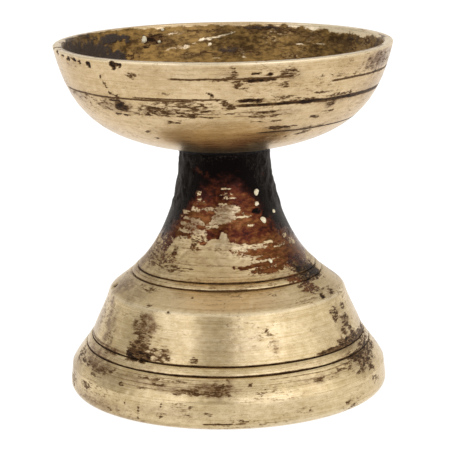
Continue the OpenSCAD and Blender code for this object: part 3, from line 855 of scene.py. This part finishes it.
def bowl_patina(bowl, rim, nicks):
    """Stores the bowl's fields. `rim` is 1 on its top edge."""
    inside, outside = bowl.on("inside"), bowl.on("outside")
    away = smooth_step(80, 100, np.abs(bowl.angle)) * outside
    bare = bowl.marks(BOWL_INSIDE_BARE, 0.4, "inside")
    # the tarnish starts at a ragged line below the rim, higher up at the back
    ragged = (lumps(bowl.points, 3.0, 21, 3) - 0.5) * 1.8
    lip = 0.55 * smooth_step(115, 160, np.abs(bowl.angle)) - 0.3
    lip -= 0.8 * smooth_step(78, 55, np.abs(bowl.angle))
    seen = smooth_step(RIM_Z, RIM_Z - 0.7, bowl.height + ragged + lip)

    stain = bowl.marks(BOWL_STAINS) + bowl.marks(BOWL_INSIDE_STAINS, 0.45, "inside")
    stain = np.maximum(stain, bowl.marks(BOWL_SCARS, 0.12, twist=1.2))
    scattered = streaks(bowl, 6.0, 23, (0.6, 3), 0.50, 0.85) * 0.60
    belt = np.exp(-(((bowl.height - 82.5) / 2.2) ** 2)) * 0.40
    stain = np.maximum(stain, away * (scattered + belt))
    few = streaks(bowl, 11.0, 25, (1, 2.5), 0.45, 0.8, 2)
    stain = np.maximum(stain, outside * few * 0.18)
    stain = np.maximum(stain * (1 - bare * inside) * (1 - rim * 0.7), nicks)
    bowl.fields["stain"] = np.clip(stain, 0, 1.3)

    # the brown film: partly grime and partly painted shade, heavier towards the sides and back
    film_and_shade = streaks(bowl, 14.0, 26, (1, 2), 0.35, 0.75) * (0.12 + away * 0.45)
    film_and_shade = np.maximum(film_and_shade * outside, bowl.marks(BOWL_GRIME_AND_SHADE, 0.5, "outside", 0))
    bowl.fields["grime_and_shade"] = film_and_shade * (1 - rim)
    old = lumps(bowl.points, 5.0, 22, 3)
    bowl.fields["tarnish"] = inside * seen * (0.80 + 0.6 * (old - 0.5)) * (1 - bare * 0.9)
    broad = lumps(bowl.points, 8.0, 27, 3)
    deep = 0.37 + 1.3 * (broad - 0.5) + bowl.marks(BOWL_INSIDE_DEEP, 0.5, "inside", 0)
    bowl.fields["deep"] = np.clip(deep, 0, 1) * inside
    facing = smooth_step(110, 80, np.abs(bowl.angle))
    bowl.fields["bare"] = np.maximum(rim * np.maximum(outside, facing), bare)
    smoke = bowl.marks(BOWL_INSIDE_SMOKE, 0.42, "inside", 0.40)
    bowl.fields["soot"] = smoke * seen * (1 - bare)
    under = smooth_step(NECK_R + 1.2, NECK_R + 0.3, bowl.radius) * outside
    bowl.fields["crust"] = under * 0.9
    bowl.fields["scored"] = outside * 0.28 + inside * 0.3


def make_bowl():
    bowl = Turning(bowl_outline(), BOWL_COLUMNS)
    rim = smooth_step(RIM_Z - 0.75, RIM_Z - 0.15, bowl.height)
    nicks = bowl.marks(BOWL_NICKS, 0.25)
    bowl_patina(bowl, rim, nicks)
    rough = (lumps(bowl.points, 2.2, 24, 3) - 0.5) * bowl.on("inside") * (1 - rim)
    bowl.push = (1 - bowl.on("hidden")) * hand_wear(bowl, 1) + rough * 0.25 - nicks * 0.22
    bowl.push *= smooth_step(HOLE_R, HOLE_R + 2, bowl.radius)
    lines = height_to_along(bowl, BOWL_LINES)
    material = aged_brass("aged_brass_bowl", BOWL_BRASS, BOWL_BRASS_DEEP, SMOKE, lines)
    thing = bowl.build("bowl_turned", material)
    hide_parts("bowl")


def foot_patina(foot):
    """Stores the foot's fields, and returns how thick its crust is, from 0 to 1."""
    inside, outside = foot.on("inside"), foot.on("outside")
    away = smooth_step(85, 105, np.abs(foot.angle)) * outside
    ragged = (lumps(foot.points, 2.6, 31, 3) - 0.5) * 4.5
    above_resin = foot.height - start_heights(foot, RESIN_STARTS) + ragged
    above_soot = foot.height - start_heights(foot, SOOT_STARTS) + ragged * 0.8
    amber = foot.marks(FOOT_AMBER, 0.5, "outside", 0)
    bare = foot.marks(FOOT_BARE, 0.38)
    resin = np.maximum(foot.marks(FOOT_RESIN, 0.4), smooth_step(-1.2, 2.4, above_resin) * 0.95)
    soot = np.maximum(foot.marks(FOOT_SOOT, 0.4), smooth_step(-10.0, 3.0, above_soot))
    crust = smooth_step(1.0, 6.0, above_soot)

    stain = np.maximum(foot.marks(FOOT_STAINS), foot.marks(FOOT_SCARS, 0.15))
    stain = np.maximum(stain, away * (streaks(foot, 6.0, 33, (0.6, 2.5), 0.50, 0.85) * 0.62))
    few = streaks(foot, 11.0, 36, (1, 2.5), 0.45, 0.8, 2)
    stain = np.maximum(stain, outside * few * 0.26)
    # the brown film: partly grime and partly painted shade, heavier towards the sides and back
    film_and_shade = streaks(foot, 14.0, 37, (1, 2), 0.35, 0.75) * (0.15 + away * 0.45)
    foot.fields["grime_and_shade"] = np.maximum(film_and_shade * outside, foot.marks(FOOT_GRIME_AND_SHADE, 0.5, "outside", 0))
    foot.fields["stain"] = stain
    foot.fields["resin"] = np.clip(np.maximum(resin * (1 - bare), amber * 0.62), 0, 1.2) * outside
    foot.fields["soot"] = np.clip(soot - bare * 0.5, 0, 1.2) * (1 - amber * 0.6) * outside
    foot.fields["crust"] = crust * (1 - amber) * (1 - bare) * outside

    # paler metal: a painted highlight across the middle of the cone where it faces the front and along
    # the shoulder's edge, a paler heel on the right front, and some paleness on the bare places
    # painted highlight: a pale band round the middle of the cone, on its front only
    above_cone = (foot.height - 29.8) / 1.6
    cone_highlight = np.exp(-(above_cone**2)) * smooth_step(45, 10, np.abs(foot.angle))
    pale_heel = smooth_step(2.4, 0.8, foot.height) * smooth_step(-10, 25, foot.angle) * (1 - away)
    # painted highlight: a bright line all round the shoulder's edge
    edge = np.exp(-(((foot.height - SHOULDER[1] - 0.1) / 0.35) ** 2)) * 0.8
    pale_and_highlight = np.maximum.reduce([bare * 0.3, cone_highlight, pale_heel, edge])
    # on the foot the bare field also carries these painted highlights
    foot.fields["bare"] = pale_and_highlight * outside
    foot.fields["tarnish"] = inside * 0.85
    deep = lumps(foot.points, 8.0, 38, 3) * inside
    foot.fields["deep"] = deep + foot.marks(FOOT_DEEP, 0.5, "outside", 0)
    flare = smooth_step(UPPER_GROOVES[1][1], 35.5, foot.height) * outside
    cone = smooth_step(SHOULDER[1], 28.2, foot.height) * outside * (1 - flare)
    foot.fields["scored"] = outside * 0.22 + flare * (0.78 - 0.6 * bare) + cone * 0.3
    return crust


def make_foot():
    foot = Turning(foot_outline(), FOOT_COLUMNS)
    crust = foot_patina(foot)
    lumpy = lumps(foot.points, 1.9, 34, 2) - 0.35
    foot.push = (1 - foot.on("hidden")) * hand_wear(foot, 5) + crust * lumpy * 0.8 * foot.on("outside")
    foot.push += (lumps(foot.points, 3.0, 35, 3) - 0.5) * foot.on("inside") * 0.4
    foot.push -= foot.marks(FOOT_DENTS) * 0.35
    foot.push *= smooth_step(FOOT_Z - 0.01, FOOT_Z + 1.5, foot.height)
    foot.push *= smooth_step(SEAT_Z, SEAT_Z - 0.5, foot.height)
    lines = height_to_along(foot, FOOT_LINES)
    material = aged_brass("aged_brass_foot", FOOT_BRASS, FOOT_BRASS_DEEP, SOOT, lines)
    thing = foot.build("foot_turned", material)
    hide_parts("pedestal_foot")


def make_rivet():
    """The rivet, hammered at both ends."""
    tail = dome(TAIL_R, WASHER_Z - TAIL_Z, 0, 12)[::-1] * [1, -1] + [0, WASHER_Z]
    sections = [
        ("outside", tail),
        ("hidden", line([SHANK_R, WASHER_Z], [SHANK_R, FLOOR_Z], 6)),
        ("outside", dome(HEAD_R, HEAD_Z - FLOOR_Z, FLOOR_Z, 16)),
    ]
    rivet = Turning(sections, RIVET_COLUMNS, closed=False)
    blows = lumps(rivet.points, 2.2, 41, 2) - 0.6
    rivet.push = rivet.on("outside") * blows * 0.25 * smooth_step(0.3, 1.5, rivet.radius)
    brass = plain_aged("hammered_brass", (0.30, 0.19, 0.075), (0.05, 0.03, 0.014), 0.85, 0.38, 0.6, 0.08)
    thing = rivet.build("rivet_hammered", brass)
    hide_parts("centre_rivet")


def ring_sections(inner, outer, low, high, rounding, count):
    """A flat ring's closed outline, with its outer corners rounded."""
    return [
        ("outside", line([inner, low], [outer - rounding, low], count)[:-1]),
        ("outside", arc([outer - rounding, low + rounding], rounding, -90, 0, 4)),
        ("outside", arc([outer - rounding, high - rounding], rounding, 0, 90, 4)),
        ("outside", line([outer - rounding, high], [inner, high], count)[1:]),
    ]


def make_washer():
    washer = Turning(ring_sections(HOLE_R, WASHER_R, WASHER_Z, CROWN_Z, 0.3, 6), RIVET_COLUMNS)
    washer.push = (lumps(washer.points, 1.5, 43, 2) - 0.6) * 0.10
    brass = plain_aged("washer_brass", (0.22, 0.14, 0.06), (0.04, 0.025, 0.013), 0.8, 0.45, 0.65, 0.08)
    thing = washer.build("washer_rough", brass)
    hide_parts("rivet_washer")


def make_bead():
    """The pitch in the corner between the neck and the bowl, lumpy as it set."""
    side, top = BEAD_R - NECK_R, BEAD_TOP_Z - SEAT_Z
    sections = [
        ("outside", line([NECK_R - 0.3, SEAT_Z - 0.1], [NECK_R - 0.1, BEAD_Z], 4)),
        ("outside", bezier([[NECK_R, BEAD_Z], [NECK_R + side * 0.5, BEAD_Z + 0.2],
                            [BEAD_R, SEAT_Z - 0.3], [BEAD_R, SEAT_Z + top]], 8)),
    ]
    bead = Turning(sections, BEAD_COLUMNS)
    free = smooth_step(NECK_R, NECK_R + 0.4, bead.radius)
    bead.push = (lumps(bead.points, 1.6, 45, 3) - 0.35) * 0.7 * free
    pitch = plain_aged("set_pitch", (0.012, 0.009, 0.008), (0.004, 0.003, 0.003), 0.9, 0.45, 0.8, 0.15)
    thing = bead.build("pitch_bead", pitch)
    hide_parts("joint_bead")


def surface_at(sections, height, side):
    """The [radius, height] point and outward normal of an outline's side at this height."""
    outline = np.vstack([points for name, points in sections if name == side])
    i = int(np.argmin(np.abs(outline[:, 1] - height)))
    run = outline[min(i + 1, len(outline) - 1)] - outline[max(i - 1, 0)]
    run /= np.linalg.norm(run)
    return outline[i], np.array([run[1], -run[0]])


def make_wax(name, sections, side, drops, material):
    """Set drops of wax on a surface: flattened, uneven domes, in one mesh."""
    rings, columns = 8, 28
    points, faces = [], []
    for index, (angle, height, width, thick) in enumerate(drops):
        (radius, z), (out_r, out_z) = surface_at(sections, height, side)
        a = math.radians(angle)
        outward = np.array([out_r * math.sin(a), -out_r * math.cos(a), out_z])
        sideways = np.array([math.cos(a), math.sin(a), 0])
        upward = np.cross(outward, sideways)
        centre = np.array([radius * math.sin(a), -radius * math.cos(a), z])
        first = len(points)
        for ring in range(rings):
            tilt = math.radians(-25 + 115 * ring / (rings - 1))
            for column in range(columns):
                turn = 2 * math.pi * column / columns
                uneven = 1 + 0.14 * math.sin(2 * turn + index) + 0.08 * math.sin(3 * turn + 2 * index)
                across = width / 2 * uneven * math.cos(tilt)
                points.append(
                    centre
                    + sideways * across * math.cos(turn)
                    + upward * across * 1.15 * math.sin(turn)
                    + outward * thick * math.sin(tilt)
                )
        for ring, column in itertools.product(range(rings - 1), range(columns)):
            beside = (column + 1) % columns
            low, high = first + ring * columns, first + (ring + 1) * columns
            faces.append([low + column, low + beside, high + beside, high + column])
        faces.append([first + column for column in reversed(range(columns))])
    mesh = bpy.data.meshes.new(name)
    mesh.from_pydata((np.array(points) * MM).tolist(), [], faces)
    store(mesh, "turned", points)
    close_poles(mesh)
    thing = piece(name, mesh, material)


# ---------------------------------------------------------------- camera, floor and light
CAMERA_AT = Vector((0, -488.4, 153.8)) * MM
CAMERA_LOOKS_AT = Vector((-0.26, 0, 44.1)) * MM
CAMERA_ROLL = -1.0
CAMERA_LENS = 147.8


def make_camera():
    data = bpy.data.cameras.new("camera")
    data.lens = CAMERA_LENS
    data.clip_start, data.clip_end = 0.01, 50
    camera = bpy.data.objects.new("camera", data)
    bpy.context.scene.collection.objects.link(camera)
    aim = (CAMERA_LOOKS_AT - CAMERA_AT).to_track_quat("-Z", "Y").to_matrix()
    roll = Matrix.Rotation(math.radians(CAMERA_ROLL), 3, "Z")
    camera.matrix_world = Matrix.Translation(CAMERA_AT) @ (aim @ roll).to_4x4()
    bpy.context.scene.camera = camera


def make_floor():
    """A white floor that glows a little, so that it stays pale under the foot."""
    half = 4.0
    mesh = bpy.data.meshes.new("floor")
    corners = [(-half, -half, 0), (half, -half, 0), (half, half, 0), (-half, half, 0)]
    mesh.from_pydata([(x, y, -0.0002) for x, y, _ in corners], [], [(0, 1, 2, 3)])
    material = bpy.data.materials.new("white_floor")
    material.use_nodes = True
    bsdf = material.node_tree.nodes["Principled BSDF"]
    bsdf.inputs["Base Color"].default_value = (0.15, 0.15, 0.15, 1)
    bsdf.inputs["Roughness"].default_value = 0.9
    bsdf.inputs["Emission Color"].default_value = (1, 1, 1, 1)
    bsdf.inputs["Emission Strength"].default_value = 0.95
    mesh.materials.append(material)
    floor = bpy.data.objects.new("floor", mesh)
    bpy.context.scene.collection.objects.link(floor)


def make_lamp(name, azimuth, elevation, distance, width, tall, radiance, colour=(1, 1, 1)):
    """A soft box that faces the object, of this radiance. Azimuth is an angle as above."""
    data = bpy.data.lights.new(name, "AREA")
    data.shape = "RECTANGLE"
    data.size, data.size_y = width, tall
    data.energy = radiance * math.pi * width * tall
    data.color = colour
    lamp = bpy.data.objects.new(name, data)
    bpy.context.scene.collection.objects.link(lamp)
    a, e = math.radians(azimuth), math.radians(elevation)
    away = Vector((math.sin(a) * math.cos(e), -math.cos(a) * math.cos(e), math.sin(e)))
    target = Vector((0, 0, 50 * MM))
    lamp.location = target + away * distance
    lamp.rotation_euler = (-away).to_track_quat("-Z", "Y").to_euler()
    lamp.visible_camera = False


def make_world():
    """White to the camera. To the brass it is a pale room, dim in front, brighter overhead, and
    brightest low down behind the object, where its white backdrop is."""
    world = bpy.data.worlds.new("studio")
    bpy.context.scene.world = world
    tree = Nodes(world)
    direction = tree.add("ShaderNodeTexCoord", out="Generated")
    y, z = (tree.add("ShaderNodeSeparateXYZ", direction, out=axis) for axis in "YZ")
    behind, low_down = tree.ramp(y, 0.0, 0.8, 0.0, 0.30), tree.ramp(z, 0.15, 0.55, 1.0, 0.0)
    around, overhead = tree.ramp(y, -0.4, 0.9, 0.73, 0.66), tree.ramp(z, 0.45, 0.95, 0.0, 0.28)
    backdrop = tree.math("MULTIPLY", behind, low_down)
    strength = tree.math("ADD", around, overhead)
    room = tree.nodes["Background"]
    tree.set(room.inputs["Color"], (1.0, 0.985, 0.955))
    tree.set(room.inputs["Strength"], tree.math("ADD", strength, backdrop))
    white = tree.add("ShaderNodeBackground", (1.0, 1.0, 1.0))
    seen = tree.add("ShaderNodeLightPath", out="Is Camera Ray")
    both = tree.add("ShaderNodeMixShader", seen, room.outputs[0], white)
    tree.set(tree.nodes["World Output"].inputs["Surface"], both)


def make_studio():
    make_world()
    make_lamp("right_key", 27, 20, 1.2, 0.83, 1.1, 1.20, (0.94, 1.0, 1.23))
    make_lamp("right_fill", 64, 20, 1.2, 0.75, 1.1, 0.80, (0.98, 1.0, 1.08))
    make_lamp("right_side", 96, 20, 1.2, 0.64, 1.1, 0.38, (1.0, 0.97, 0.92))
    make_lamp("right_top", 66, 60, 1.2, 0.9, 0.6, 0.17, (0.97, 1.0, 1.08))
    make_lamp("left_key", -52, 20, 1.2, 1.0, 1.1, 0.67, (0.97, 1.0, 1.17))
    make_lamp("left_strip", -41, 20, 1.2, 0.36, 1.1, 0.30, (0.97, 1.0, 1.20))
    view = bpy.context.scene.view_settings
    view.view_transform = "Standard"
    view.look = "None"
    view.exposure = 0
    view.gamma = 1


make_camera()
make_bowl()
make_foot()
make_rivet()
make_washer()
make_bead()
wax = wax_material()
make_wax("wax_on_neck", foot_outline(), "outside", NECK_WAX, wax)
make_wax("wax_in_bowl", bowl_outline(), "inside", BOWL_WAX, wax)
make_floor()
make_studio()
